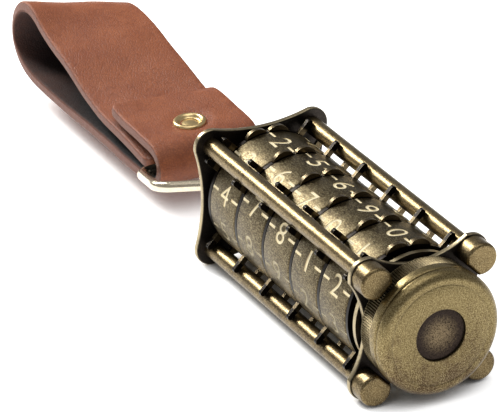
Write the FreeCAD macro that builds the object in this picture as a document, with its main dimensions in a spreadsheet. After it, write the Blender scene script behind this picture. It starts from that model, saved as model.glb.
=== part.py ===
"""A combination cryptex on a leather strap: five numbered dial rings lock a sliding vault.

Lengths are millimetres. +X runs along the dial axis towards the end cap, +Z is up.
The origin is under the middle of the whole object, on the surface that it lies on.
A "station" is a distance along +X from the front face of the rear plate.
"""

import FreeCAD, Part
import math
import os

import Sketcher

# alias, value, meaning
SIZES = [
    ("post_offset", 12.0, "post centres, from the dial axis along Y and along Z"),
    ("lobe_radius", 3.85, "corner lobes of both end plates"),
    ("rear_waist", 14.2, "dial axis to the middle of the rear plate's hollow sides"),
    ("front_waist", 12.5, "dial axis to the middle of the front plate's hollow sides"),
    ("plate_thick", 1.25, "end plates"),
    ("plate_gap", 67.6, "between the two end plates"),
    ("edge_break", 0.3, "rounding along a plate's outline"),
    ("rod_radius", 1.95, "tie rods"),
    ("tenon_radius", 1.0, "threaded ends of the tie rods"),
    ("thread_gap", 0.05, "radial room round a tenon"),
    ("head_radius", 3.5, "post screw heads"),
    ("head_height", 4.4, "post screw heads"),
    ("head_flat", 2.85, "post centre to the flat that clears the cap"),
    ("head_round", 0.7, "rounding of a head's rim"),
    ("head_bore", 2.5, "depth of the blind hole in a post screw"),
    ("head_thread", 2.3, "tie rod's thread inside a post screw"),
    ("nut_radius", 2.6, "domed rear nuts"),
    ("nut_height", 1.9, "domed rear nuts"),
    ("nut_round", 1.1, "rounding of a rear nut's rim"),
    ("nut_crown", 0.5, "metal over the blind hole of a rear nut"),
    ("nut_thread", 1.3, "tie rod's thread inside a rear nut"),
    ("ring_radius", 14.0, "dial rings, outside"),
    ("ring_width", 11.2, "dial rings, along the axis"),
    ("ring_pitch", 12.3, "one dial ring to the next"),
    ("ring_round", 0.4, "rounding of a dial ring's outer edges"),
    ("ring_count", 5, "dial rings"),
    ("first_spacer", 1.9, "station of the first spacer plate's rear face"),
    ("spacer_thick", 0.9, "spacer plates"),
    ("spacer_radius", 13.9, "spacer plates, outside"),
    ("side_gap", 0.1, "between a dial ring and the spacer beside it"),
    ("hump_radius", 2.9, "rounded index humps on a spacer plate"),
    ("hump_centre", 12.4, "dial axis to the centre of an index hump"),
    ("hump_angle", 11.0, "index hump from the top of the spacer, in degrees"),
    ("notch_width", 0.9, "reading notch between the two humps"),
    ("notch_floor", 14.1, "dial axis to the bottom of the reading notch"),
    ("prong_width", 1.3, "fork prongs beside each tie rod"),
    ("prong_gap", 0.12, "between a prong and its tie rod"),
    ("prong_root", 2.0, "how far a prong is let into the spacer's disc"),
    ("tube_radius", 8.0, "core tube, outside"),
    ("tube_bore", 6.9, "core tube, inside"),
    ("tube_slot", 3.4, "width of the slot along the core tube"),
    ("flute_depth", 0.25, "click flutes in the core tube"),
    ("flute_radius", 0.7, "cutter that makes the click flutes"),
    ("running_gap", 0.05, "radial room of a part that turns or slides"),
    ("fit_gap", 0.03, "room of a part that is pressed or screwed in"),
    ("gate_width", 3.4, "gate in each dial ring"),
    ("gate_depth", 10.2, "dial axis to the floor of every gate and key slot"),
    ("recess_radius", 12.4, "annular recess inside a dial ring"),
    ("recess_width", 6.4, "annular recess inside a dial ring"),
    ("ball_radius", 0.75, "detent balls"),
    ("ball_hole", 0.8, "radius of the pocket of a ball and its spring"),
    ("ball_pocket", 12.0, "dial axis to the end of the ball's pocket"),
    ("ball_setback", 4.4, "ball centre behind the middle of its dial ring"),
    ("coil_radius", 0.52, "detent springs, centre line of the wire"),
    ("coil_wire", 0.13, "radius of the detent springs' wire"),
    ("coil_pitch", 0.45, "detent springs"),
    ("vault_radius", 6.8, "vault tube, outside"),
    ("vault_bore", 5.9, "vault tube, inside"),
    ("vault_start", 6.2, "station of the vault tube's open end"),
    ("vault_end", 68.6, "station of the vault tube's closed end"),
    ("bar_inset", 0.3, "lock bar's rear end inside the vault tube's open end"),
    ("bar_end", 2.0, "vault tube left whole past the lock bar's slot"),
    ("tooth_width", 2.8, "lock bar and its teeth, across"),
    ("tooth_length", 3.4, "lock teeth, along the axis"),
    ("tooth_reach", 9.8, "dial axis to the tips of the teeth"),
    ("cap_gap", 0.15, "between the front plate and the end cap"),
    ("knurl_radius", 13.4, "knurled collar of the end cap"),
    ("knurl_length", 3.9, "knurled collar of the end cap"),
    ("cap_radius", 13.7, "widest part of the end cap"),
    ("rim_length", 2.4, "rim behind the cap's groove"),
    ("rim_round", 0.28, "rounding of both edges of the rim"),
    ("groove_radius", 13.15, "shallow groove between the rim and the face"),
    ("groove_length", 0.5, "shallow groove between the rim and the face"),
    ("shoulder_radius", 13.75, "shoulder round the cap's face"),
    ("shoulder_length", 2.2, "shoulder round the cap's face"),
    ("shoulder_round", 2.1, "rounding of the shoulder towards the face"),
    ("dimple_radius", 5.65, "round recess in the cap's face"),
    ("dimple_depth", 1.1, "round recess in the cap's face"),
    ("dimple_round", 0.15, "rounding of the recess's lip"),
    ("inset_radius", 5.55, "dished disc in the recess"),
    ("inset_thick", 0.5, "lip of the dished disc"),
    ("inset_lip", 4.8, "inner radius of the dished disc's lip"),
    ("inset_middle", 2.5, "radius of the dished disc's middle"),
    ("inset_dish", 0.25, "thickness at the edge of the disc's middle"),
    ("inset_centre", 0.2, "thickness at the disc's centre"),
    ("cup_radius", 10.9, "hollow in the back of the end cap"),
    ("cup_depth", 5.5, "hollow in the back of the end cap"),
    ("spigot_length", 9.0, "plug of the cap inside the vault tube"),
    ("pin_radius", 0.6, "cross pin through the cap's plug"),
    ("collar_radius", 10.5, "bushes between the end plates and the outer spacers"),
    ("disc_radius", 13.6, "disc on the front bush"),
    ("disc_thick", 1.1, "disc on the front bush"),
    ("disc_gap", 0.6, "between that disc and the front plate"),
    ("plug_length", 2.6, "plug in the rear end of the core tube"),
    ("stud_radius", 1.5, "stud of the hanger eye"),
    ("stud_end", 0.5, "stud left proud of the hanger nut"),
    ("hex_size", 5.0, "hanger nut, across the flats"),
    ("hex_height", 1.6, "hanger nut"),
    ("eye_back", 5.2, "rear plate's front face to the eye's bore"),
    ("eye_radius", 2.4, "hanger eye, outside"),
    ("eye_width", 5.6, "hanger eye, along its bore"),
    ("neck_height", 3.6, "neck between the eye and its flange"),
    ("flange_radius", 4.0, "flange of the hanger eye"),
    ("flange_thick", 0.8, "flange of the hanger eye"),
    ("wire_radius", 1.2, "loop ring's wire"),
    ("loop_depth", 25.1, "loop ring, eye to the strap bar"),
    ("bend_radius", 4.0, "loop ring's bends beside the strap, centre line of the wire"),
    ("bend_across", 11.7, "loop ring's middle to the centre of such a bend"),
    ("bow_radius", 5.5, "loop ring's bends at its widest, centre line of the wire"),
    ("bow_across", 12.2, "loop ring's middle to the centre of such a bend"),
    ("bow_ahead", 13.9, "strap bar to the centre of such a bend"),
    ("nose_radius", 5.0, "loop ring's bends beside the eye, centre line of the wire"),
    ("nose_across", 5.7, "loop ring's middle to the centre of such a bend"),
    ("loop_tilt", 13.4, "loop ring below the level, in degrees"),
    ("strap_width", 24.5, "leather strap"),
    ("strap_thick", 2.6, "leather strap"),
    ("fold_radius", 4.35, "strap's centre line round the loop ring's bar"),
    ("fold_back", 0.3, "fold's centre behind the bar"),
    ("fold_rise", 1.1, "fold's centre above the bar"),
    ("flap_length", 19.2, "end of the strap's flap behind the bar"),
    ("bight_radius", 8.3, "strap's centre line round its far end"),
    ("bight_back", 65.1, "far end's centre behind the bar"),
    ("bight_rise", 4.9, "far end's centre above the bar"),
    ("lap_gap", 0.3, "between the flap and the strap's other end"),
    ("flap_lift", 0.6, "rise of the flap's free end above the fold"),
    ("lap_start", 1.8, "inner end of the strap behind the bar"),
    ("lap_end", 24.0, "where the upper run starts to rise"),
    ("rivet_back", 5.3, "rivet's centre behind the bar"),
    ("rivet_radius", 4.0, "rivet caps"),
    ("rivet_dome", 0.9, "rise of the rivet caps"),
    ("rivet_round", 0.72, "rounding of the rivet caps"),
    ("rivet_post", 1.4, "radius of the rivet's post"),
    ("rivet_bore", 0.54, "depth of the hole in the rivet's cap"),
    ("rivet_tip", 0.45, "end of the post inside the rivet's cap"),
]


class Size:
    """A number together with the expression over the sheet that gives it."""

    def __init__(self, value, text):
        self.value = float(value)
        self.text = text

    def joined(self, sign, other, value):
        right = other.text if isinstance(other, Size) else repr(float(other))
        return Size(value, f"({self.text} {sign} {right})")

    def __add__(self, other):
        return self.joined("+", other, self.value + float(other))

    def __sub__(self, other):
        return self.joined("-", other, self.value - float(other))

    def __mul__(self, other):
        return self.joined("*", other, self.value * float(other))

    def __truediv__(self, other):
        return self.joined("/", other, self.value / float(other))

    def __neg__(self):
        return self * -1

    def __float__(self):
        return self.value


doc = FreeCAD.newDocument("Cryptex")
sheet = doc.addObject("Spreadsheet::Sheet", "Sizes")
for row, (alias, value, meaning) in enumerate(SIZES, start=1):
    sheet.set(f"A{row}", alias)
    sheet.set(f"B{row}", str(value))
    sheet.set(f"C{row}", meaning)
    sheet.setAlias(f"B{row}", alias)
doc.recompute()
size = {alias: Size(value, f"Sizes.{alias}") for alias, value, meaning in SIZES}
ZERO = Size(0, "0")

RING_COUNT = int(size["ring_count"].value)
CORNERS = [(1, 1), (-1, 1), (-1, -1), (1, -1)]
DIGITS = 10
TINY = 0.001
FORWARD = FreeCAD.Rotation(FreeCAD.Vector(0, 1, 0), 90)
BACKWARD = FreeCAD.Rotation(FreeCAD.Vector(0, 1, 0), -90)
SIDEWAYS = FreeCAD.Rotation(FreeCAD.Vector(1, 0, 0), -90)
UPRIGHT = FreeCAD.Rotation()

post_distance = size["post_offset"] * math.sqrt(2)
axis_height = size["post_offset"] + size["lobe_radius"]
front_face = size["plate_gap"] + size["plate_thick"]
cap_start = front_face + size["cap_gap"]
groove_start = cap_start + size["knurl_length"] + size["rim_length"]
cap_face = groove_start + size["groove_length"] + size["shoulder_length"]
lap_rise = size["fold_rise"] + size["fold_radius"] - size["strap_thick"] - size["lap_gap"]
tilt = math.radians(float(size["loop_tilt"]))
bar_back = size["eye_back"] + size["loop_depth"] * math.cos(tilt)
bar_drop = size["loop_depth"] * math.sin(tilt)
strap_reach = bar_back + size["bight_back"] + size["bight_radius"] + size["strap_thick"] / 2
rear_face = (strap_reach - cap_face) / 2

parts = []


def bind(item, name, amount):
    """Sets a property to a plain number, or ties it to the sheet."""
    if isinstance(amount, Size):
        item.setExpression(name, amount.text)
    else:
        setattr(item, name, amount)


def place(item, station, across=ZERO, above=ZERO, turn=UPRIGHT):
    """Puts an object at a station, and at distances from the dial axis along Y and Z."""
    item.Placement = FreeCAD.Placement(FreeCAD.Vector(), turn)
    item.setExpression("Placement.Base.x", (rear_face + station).text)
    item.setExpression("Placement.Base.y", (ZERO + across).text)
    item.setExpression("Placement.Base.z", (axis_height + above).text)
    return item


def keep(item, label):
    """Names a finished sub-part and puts it on the list of parts."""
    item.Label = label
    parts.append(item)
    return item


def cylinder(radius, length, station, across=ZERO, above=ZERO, turn=FORWARD):
    item = doc.addObject("Part::Cylinder", "Cylinder")
    bind(item, "Radius", radius)
    bind(item, "Height", length)
    return place(item, station, across, above, turn)


def box(length, width, height, station, across, above, turn=UPRIGHT):
    """A block whose lowest corner is at the given place before it is turned."""
    item = doc.addObject("Part::Box", "Box")
    bind(item, "Length", length)
    bind(item, "Width", width)
    bind(item, "Height", height)
    return place(item, station, across, above, turn)


def fuse(*items):
    item = doc.addObject("Part::MultiFuse", "Fuse")
    item.Shapes = list(items)
    item.Refine = True
    return item


def cut(base, *tools):
    item = doc.addObject("Part::Cut", "Cut")
    item.Base = base
    item.Tool = tools[0] if len(tools) == 1 else fuse(*tools)
    item.Refine = True
    return item


def vector(along, up):
    return FreeCAD.Vector(float(along), float(up), 0)


def hold(sketch, kind, *where):
    """Adds one dimension to a sketch and ties it to the sheet."""
    amount = where[-1]
    index = sketch.addConstraint(Sketcher.Constraint(kind, *where[:-1], float(amount)))
    if isinstance(amount, Size):
        sketch.setExpression(f"Constraints[{index}]", amount.text)


def sketch_on(body, role, name):
    """A sketch on one of the body's own origin planes."""
    plane = next(item for item in body.Origin.OriginFeatures if item.Role == role)
    sketch = body.newObject("Sketcher::SketchObject", name)
    sketch.AttachmentSupport = [(plane, "")]
    sketch.MapMode = "FlatFace"
    return sketch


def outline(sketch, points):
    """A closed outline of straight edges, every corner dimensioned from the origin."""
    count = len(points)
    for i, point in enumerate(points):
        following = points[(i + 1) % count]
        sketch.addGeometry(Part.LineSegment(vector(*point), vector(*following)))
    for i in range(count):
        sketch.addConstraint(Sketcher.Constraint("Coincident", i, 2, (i + 1) % count, 1))
    for i, (along, up) in enumerate(points):
        hold(sketch, "DistanceX", -1, 1, i, 1, along)
        hold(sketch, "DistanceY", -1, 1, i, 1, up)


def turned(name, points):
    """A body turned about its own X axis from an outline of (station, radius) corners."""
    body = doc.addObject("PartDesign::Body", name)
    sketch = sketch_on(body, "XZ_Plane", "Profile")
    outline(sketch, points)
    turning = body.newObject("PartDesign::Revolution", "Turning")
    turning.Profile = sketch
    turning.ReferenceAxis = (sketch, ["H_Axis"])
    turning.Angle = 360
    sketch.Visibility = False
    doc.recompute()
    return body


def round_edges(body, radius, chosen):
    """Rounds those edges of the body that chosen(edge) picks."""
    last = body.Tip
    edges = enumerate(last.Shape.Edges, start=1)
    names = [f"Edge{number}" for number, edge in edges if chosen(edge)]
    rounding = body.newObject("PartDesign::Fillet", "Rounding")
    rounding.Base = (last, names)
    bind(rounding, "Radius", radius)
    body.Tip = rounding
    doc.recompute()


def circles(*pairs):
    """Picks the circular edges that lie at the given (station, radius) pairs."""

    def chosen(edge):
        curve = edge.Curve
        if not isinstance(curve, Part.Circle):
            return False
        misses = [
            abs(curve.Radius - float(radius)) + abs(curve.Center.x - float(station))
            for station, radius in pairs
        ]
        return min(misses) < TINY

    return chosen


def cut_pocket(body, name, role, length, draw, both_ways=True):
    """Cuts a sketched outline out of the body, and checks that it cut."""
    before = body.Tip.Shape.Volume
    sketch = sketch_on(body, role, name)
    draw(sketch)
    pocket = body.newObject("PartDesign::Pocket", name + "Cut")
    pocket.Profile = sketch
    pocket.Midplane = both_ways
    bind(pocket, "Length", length)
    sketch.Visibility = False
    body.Tip = pocket
    doc.recompute()
    if pocket.Shape.Volume > before - TINY:
        raise RuntimeError(f"{body.Label}: {name} cut nothing")
    return pocket


def end_plate(label, station, waist, bore, key):
    """A four-lobed plate with hollow sides, four post holes and a centre bore."""
    thick = size["plate_thick"]
    post = size["post_offset"]
    lobe = size["lobe_radius"]
    half = post + lobe
    blanks = [
        box(thick, half * 2, post * 2, station, -half, -post),
        box(thick, post * 2, half * 2, station, -post, -half),
    ]
    tools = [cylinder(bore, thick, station)]
    # A hollow side is an arc that meets the lobes beside it without a corner.
    rise = float(waist - post)
    hollow = (float(post) ** 2 + rise**2 - float(lobe) ** 2) / (2 * (float(lobe) - rise))
    reach = waist + hollow
    for across, above in CORNERS:
        blanks.append(cylinder(lobe, thick, station, post * across, post * above))
        hole = size["tenon_radius"] + size["thread_gap"]
        tools.append(cylinder(hole, thick, station, post * across, post * above))
    for across, above in ((1, 0), (0, 1), (-1, 0), (0, -1)):
        tools.append(cylinder(hollow, thick, station, reach * across, reach * above))
    if key:
        width = size["gate_width"]
        tools.append(box(thick, width, size["gate_depth"], station, -width / 2, -size["gate_depth"]))
    blank = cut(fuse(*blanks), *tools)
    doc.recompute()
    plate = doc.addObject("Part::Fillet", "Plate")
    plate.Base = blank
    edge_break = float(size["edge_break"])
    covered = float(size["collar_radius"])
    centre = FreeCAD.Vector(float(rear_face + station), 0, float(axis_height))
    rims = []
    for number, edge in enumerate(blank.Shape.Edges, start=1):
        middle = edge.valueAt((edge.FirstParameter + edge.LastParameter) / 2) - centre
        off_post = math.hypot(abs(middle.y) - float(post), abs(middle.z) - float(post))
        is_flat = edge.BoundBox.XLength < TINY
        is_outline = math.hypot(middle.y, middle.z) > covered and off_post > float(size["rod_radius"])
        if is_flat and is_outline:
            rims.append((number, edge_break, edge_break))
    plate.Edges = rims
    return keep(plate, label)


def tie_rods():
    """Four rods between the plates, with a threaded tenon at each end."""
    radius = size["rod_radius"]
    tenon = size["tenon_radius"]
    rear = size["plate_thick"] + size["nut_thread"]
    front = size["plate_thick"] + size["head_thread"]
    points = [
        (ZERO, ZERO),
        (ZERO, tenon),
        (rear, tenon),
        (rear, radius),
        (rear + size["plate_gap"], radius),
        (rear + size["plate_gap"], tenon),
        (rear + size["plate_gap"] + front, tenon),
        (rear + size["plate_gap"] + front, ZERO),
    ]
    for number, (across, above) in enumerate(CORNERS, start=1):
        rod = turned("TieRod", points)
        place(rod, -rear, size["post_offset"] * across, size["post_offset"] * above)
        keep(rod, f"tie_rod_{number}")


def post_screws():
    """Round heads on the front of the rods, each with a flat that faces the end cap."""
    height = size["head_height"]
    radius = size["head_radius"]
    bore = size["tenon_radius"] + size["thread_gap"]
    depth = size["head_bore"]
    points = [
        (ZERO, bore),
        (ZERO, radius),
        (height, radius),
        (height, ZERO),
        (depth, ZERO),
        (depth, bore),
    ]
    flat = size["head_flat"]

    def beyond_the_flat(sketch):
        corners = [(-radius, flat), (radius, flat), (radius, flat + radius), (-radius, flat + radius)]
        outline(sketch, corners)

    def on_the_front(edge):
        return abs(edge.CenterOfMass.x - float(height)) < TINY

    for number, (across, above) in enumerate(CORNERS, start=1):
        head = turned("PostScrew", points)
        cut_pocket(head, "Flat", "YZ_Plane", height * 3, beyond_the_flat)
        round_edges(head, size["head_round"], on_the_front)
        # The sketched flat is above the head; it turns to face the dial axis.
        facing = math.degrees(math.atan2(-above, -across)) - 90
        turn = FreeCAD.Rotation(FreeCAD.Vector(1, 0, 0), facing)
        place(head, front_face, size["post_offset"] * across, size["post_offset"] * above, turn)
        keep(head, f"post_screw_{number}")


def rear_nuts():
    """Low domed nuts on the rear ends of the rods."""
    height = size["nut_height"]
    bore = size["tenon_radius"] + size["thread_gap"]
    points = [
        (ZERO, ZERO),
        (ZERO, size["nut_radius"]),
        (height, size["nut_radius"]),
        (height, bore),
        (size["nut_crown"], bore),
        (size["nut_crown"], ZERO),
    ]
    for number, (across, above) in enumerate(CORNERS, start=1):
        nut = turned("RearNut", points)
        round_edges(nut, size["nut_round"], circles((ZERO, size["nut_radius"])))
        station = -(size["plate_thick"] + height)
        place(nut, station, size["post_offset"] * across, size["post_offset"] * above)
        keep(nut, f"rear_nut_{number}")


def spacer_station(index):
    return size["first_spacer"] + size["ring_pitch"] * index


def prong(station, angle, side):
    """One fork prong, from inside the spacer's disc to level with the rod's centre."""
    width = size["prong_width"]
    thick = size["spacer_thick"]
    inner = size["spacer_radius"] - size["prong_root"]
    offset = (size["rod_radius"] + size["prong_gap"]) * side
    if side < 0:
        offset = offset - width
    turn = FreeCAD.Rotation(FreeCAD.Vector(1, 0, 0), angle)
    along = (math.cos(math.radians(angle)), math.sin(math.radians(angle)))
    across = inner * along[0] - offset * along[1]
    above = inner * along[1] + offset * along[0]
    bar = box(thick, post_distance - inner, width, station, across, above, turn)
    middle = offset + width / 2
    tip_across = post_distance * along[0] - middle * along[1]
    tip_above = post_distance * along[1] + middle * along[0]
    return [bar, cylinder(width / 2, thick, station, tip_across, tip_above)]


def spacer_plates():
    """Fixed plates between the dial rings: index humps on top, a fork round each rod."""
    thick = size["spacer_thick"]
    for index in range(RING_COUNT + 1):
        station = spacer_station(index)
        blanks = [cylinder(size["spacer_radius"], thick, station)]
        for side in (-1, 1):
            angle = math.radians(float(size["hump_angle"]))
            across = size["hump_centre"] * (math.sin(angle) * side)
            above = size["hump_centre"] * math.cos(angle)
            blanks.append(cylinder(size["hump_radius"], thick, station, across, above))
        for corner in range(4):
            for side in (-1, 1):
                blanks += prong(station, 45 + 90 * corner, side)
        gate = size["gate_width"]
        notch = size["notch_width"]
        plate = cut(
            fuse(*blanks),
            cylinder(size["tube_radius"] + size["running_gap"], thick, station),
            box(thick, gate, size["gate_depth"], station, -gate / 2, -size["gate_depth"]),
            box(thick, notch, size["hump_radius"], station, -notch / 2, size["notch_floor"]),
        )
        keep(plate, f"spacer_plate_{index + 1}")


def dial_rings():
    """Five dial rings with an inner recess, a gate at the bottom and a ball pocket on top."""
    width = size["ring_width"]
    radius = size["ring_radius"]
    bore = size["tube_radius"] + size["running_gap"]
    recess = size["recess_radius"]
    near = (width - size["recess_width"]) / 2
    far = (width + size["recess_width"]) / 2
    points = [
        (ZERO, bore),
        (ZERO, radius),
        (width, radius),
        (width, bore),
        (far, bore),
        (far, recess),
        (near, recess),
        (near, bore),
    ]
    right = size["gate_width"] / 2
    left = -right
    floor = -size["gate_depth"]

    def gate_outline(sketch):
        outline(sketch, [(left, floor), (right, floor), (right, ZERO), (left, ZERO)])

    for index in range(RING_COUNT):
        ring = turned("DialRing", points)
        round_edges(ring, size["ring_round"], circles((ZERO, radius), (width, radius)))
        cut_pocket(ring, "Gate", "YZ_Plane", width * 3, gate_outline)
        station = spacer_station(index) + size["spacer_thick"] + size["side_gap"]
        place(ring, station)
        ball_station = station + width / 2 - size["ball_setback"]
        foot = size["tube_bore"]
        depth = size["ball_pocket"] - foot
        pocket = cylinder(size["ball_hole"], depth, ball_station, above=foot, turn=UPRIGHT)
        keep(cut(ring, pocket), f"dial_ring_{index + 1}")
        detent(index + 1, ball_station)


def detent(number, station):
    """A ball held clear of the core tube, and the spring that drives it inwards."""
    radius = size["ball_radius"]
    centre = size["tube_radius"] + size["running_gap"] + radius
    ball = doc.addObject("Part::Sphere", "Ball")
    bind(ball, "Radius", radius)
    place(ball, station, above=centre)
    keep(ball, f"detent_ball_{number}")
    wire = size["coil_wire"]
    start = centre + radius + wire + size["fit_gap"]
    helix = doc.addObject("Part::Helix", "Coil")
    bind(helix, "Pitch", size["coil_pitch"])
    bind(helix, "Height", size["ball_pocket"] - start - wire - size["fit_gap"])
    bind(helix, "Radius", size["coil_radius"])
    place(helix, station, above=start)
    section = doc.addObject("Part::Circle", "Wire")
    bind(section, "Radius", wire)
    place(section, station + size["coil_radius"], above=start, turn=SIDEWAYS)
    spring = doc.addObject("Part::Sweep", "Spring")
    spring.Sections = [section]
    spring.Spine = (helix, ["Edge1"])
    spring.Solid = True
    spring.Frenet = True
    keep(spring, f"detent_spring_{number}")


def core_tube():
    """The fixed tube that the rings turn on, slotted below and fluted for the clicks."""
    points = [
        (ZERO, size["tube_bore"]),
        (ZERO, size["tube_radius"]),
        (front_face, size["tube_radius"]),
        (front_face, size["tube_bore"]),
    ]
    tube = turned("CoreTube", points)
    high = size["tube_slot"] / 2
    low = -high
    start = size["first_spacer"]
    end = front_face + 1

    def slot_outline(sketch):
        outline(sketch, [(start, low), (end, low), (end, high), (start, high)])

    # The sketch is level with the axis, and the slot is cut from there downwards.
    cut_pocket(tube, "Slot", "XY_Plane", size["tube_radius"] * 2, slot_outline, both_ways=False)

    def flute_outline(sketch):
        radius = size["flute_radius"]
        centre = size["tube_radius"] - size["flute_depth"] + radius
        circle = Part.Circle(vector(0, centre), FreeCAD.Vector(0, 0, 1), float(radius))
        sketch.addGeometry(circle)
        sketch.addConstraint(Sketcher.Constraint("PointOnObject", 0, 3, -2))
        hold(sketch, "DistanceY", -1, 1, 0, 3, centre)
        hold(sketch, "Radius", 0, radius)

    flute = cut_pocket(tube, "Flute", "YZ_Plane", front_face * 3, flute_outline)
    pattern = tube.newObject("PartDesign::PolarPattern", "Flutes")
    pattern.Originals = [flute]
    pattern.Axis = (flute.Profile[0], ["N_Axis"])
    pattern.Angle = 360
    pattern.Occurrences = DIGITS
    tube.Tip = pattern
    place(tube, ZERO)
    keep(tube, "core_tube")


def bushes():
    """Bushes that hold the outer spacer plates off the end plates; the front one carries a disc."""
    bore = size["tube_radius"] + size["running_gap"]
    last = spacer_station(RING_COUNT) + size["spacer_thick"]
    gate = size["gate_width"]
    disc_start = size["plate_gap"] - size["disc_gap"] - size["disc_thick"]
    disc = cylinder(size["disc_radius"], size["disc_thick"], disc_start)
    for label, start, end, discs in (
        ("rear_bush", ZERO, size["first_spacer"], []),
        ("front_bush", last, size["plate_gap"], [disc]),
    ):
        length = end - start
        barrel = cylinder(size["collar_radius"], length, start)
        if discs:
            barrel = fuse(barrel, *discs)
        bush = cut(
            barrel,
            cylinder(bore, length, start),
            box(length, gate, size["gate_depth"], start, -gate / 2, -size["gate_depth"]),
        )
        keep(bush, label)


def vault():
    """The sliding tube that holds what is locked away, open at its rear end."""
    start = size["vault_start"]
    length = size["vault_end"] - start
    radius = size["vault_radius"]
    width = size["tooth_width"]
    tube = cut(
        cylinder(radius, length, start),
        cylinder(size["vault_bore"], length, start),
        box(length - size["bar_end"], width, radius, start, -width / 2, -radius),
        pin_hole(),
    )
    keep(tube, "vault_tube")


def pin_hole(gap=ZERO):
    """The cap's cross pin, or with no gap at its ends the hole that it fills."""
    station = size["vault_end"] - size["spigot_length"] / 2
    reach = size["vault_radius"] - gap
    return cylinder(size["pin_radius"], reach * 2, station, -reach, turn=SIDEWAYS)


def lock_bar():
    """The bar let into the vault tube, with one tooth for each dial ring."""
    width = size["tooth_width"]
    seat = size["vault_bore"] + size["running_gap"]
    back = size["vault_radius"] - size["running_gap"]
    start = size["vault_start"] + size["bar_inset"]
    length = size["vault_end"] - size["bar_end"] - size["side_gap"] - start
    blanks = [box(length, width, back - seat, start, -width / 2, -back)]
    for index in range(RING_COUNT):
        centre = spacer_station(index) + size["spacer_thick"] + size["side_gap"] + size["ring_width"] / 2
        tooth = centre - size["tooth_length"] / 2
        reach = size["tooth_reach"]
        blanks.append(box(size["tooth_length"], width, reach - seat, tooth, -width / 2, -reach))
    keep(fuse(*blanks), "lock_bar")


def end_cap():
    """The pull: a knurled collar, a rim, a rounded shoulder and a recessed face."""
    knurl = size["knurl_length"]
    spigot = size["spigot_length"]
    collar = spigot + (cap_start - size["vault_end"])
    groove = collar + knurl + size["rim_length"]
    shoulder = groove + size["groove_length"]
    face = shoulder + size["shoulder_length"]
    plug = size["vault_bore"] - size["fit_gap"]
    points = [
        (ZERO, ZERO),
        (ZERO, plug),
        (collar + size["cup_depth"], plug),
        (collar + size["cup_depth"], size["cup_radius"]),
        (collar, size["cup_radius"]),
        (collar, size["knurl_radius"]),
        (collar + knurl, size["knurl_radius"]),
        (collar + knurl, size["cap_radius"]),
        (groove, size["cap_radius"]),
        (groove, size["groove_radius"]),
        (shoulder, size["groove_radius"]),
        (shoulder, size["shoulder_radius"]),
        (face, size["shoulder_radius"]),
        (face, size["dimple_radius"]),
        (face - size["dimple_depth"], size["dimple_radius"]),
        (face - size["dimple_depth"], ZERO),
    ]
    cap = turned("EndCap", points)
    rim_edges = circles((collar + knurl, size["cap_radius"]), (groove, size["cap_radius"]))
    round_edges(cap, size["shoulder_round"], circles((face, size["shoulder_radius"])))
    round_edges(cap, size["rim_round"], rim_edges)
    round_edges(cap, size["dimple_round"], circles((face, size["dimple_radius"])))
    place(cap, cap_start - collar)
    keep(cut(cap, pin_hole()), "end_cap")
    keep(pin_hole(size["side_gap"]), "cap_pin")


def cap_inset():
    """A dished disc on the floor of the cap's recess."""
    thick = size["inset_thick"]
    radius = size["inset_radius"]
    points = [
        (ZERO, ZERO),
        (ZERO, radius),
        (thick, radius),
        (thick, size["inset_lip"]),
        (size["inset_dish"], size["inset_middle"]),
        (size["inset_centre"], ZERO),
    ]
    disc = turned("CapInset", points)
    place(disc, cap_face - size["dimple_depth"])
    keep(disc, "cap_inset")


def hanger():
    """The eye behind the rear plate, its stud through the plate, the plug and the nut."""
    hole = size["stud_radius"] + size["fit_gap"]
    length = size["plug_length"]
    plug_radius = size["tube_bore"] - size["fit_gap"]
    plug = cut(cylinder(plug_radius, length, ZERO), cylinder(hole, length, ZERO))
    keep(plug, "tube_plug")
    nut = doc.addObject("Part::Prism", "Hex")
    nut.Polygon = 6
    bind(nut, "Circumradius", size["hex_size"] / math.sqrt(3))
    bind(nut, "Height", size["hex_height"])
    place(nut, length, turn=FORWARD)
    keep(cut(nut, cylinder(hole, size["hex_height"], length)), "hanger_nut")
    back = -size["plate_thick"]
    flange = cylinder(size["flange_radius"], size["flange_thick"], back - size["flange_thick"])
    stud_length = size["plate_thick"] + length + size["hex_height"] + size["stud_end"]
    stud = cylinder(size["stud_radius"], stud_length, back)
    eye = size["eye_radius"]
    half = size["eye_width"] / 2
    barrel = cylinder(eye, size["eye_width"], -size["eye_back"], -half, turn=SIDEWAYS)
    neck_length = size["eye_back"] - size["plate_thick"] - size["flange_thick"] / 2
    neck_height = size["neck_height"]
    neck = box(neck_length, size["eye_width"], neck_height, -size["eye_back"], -half, -neck_height / 2)
    bore_radius = size["wire_radius"] + size["running_gap"]
    bore = cylinder(bore_radius, size["eye_width"], -size["eye_back"], -half, turn=SIDEWAYS)
    keep(cut(fuse(flange, stud, barrel, neck), bore), "hanger_eye")


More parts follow.
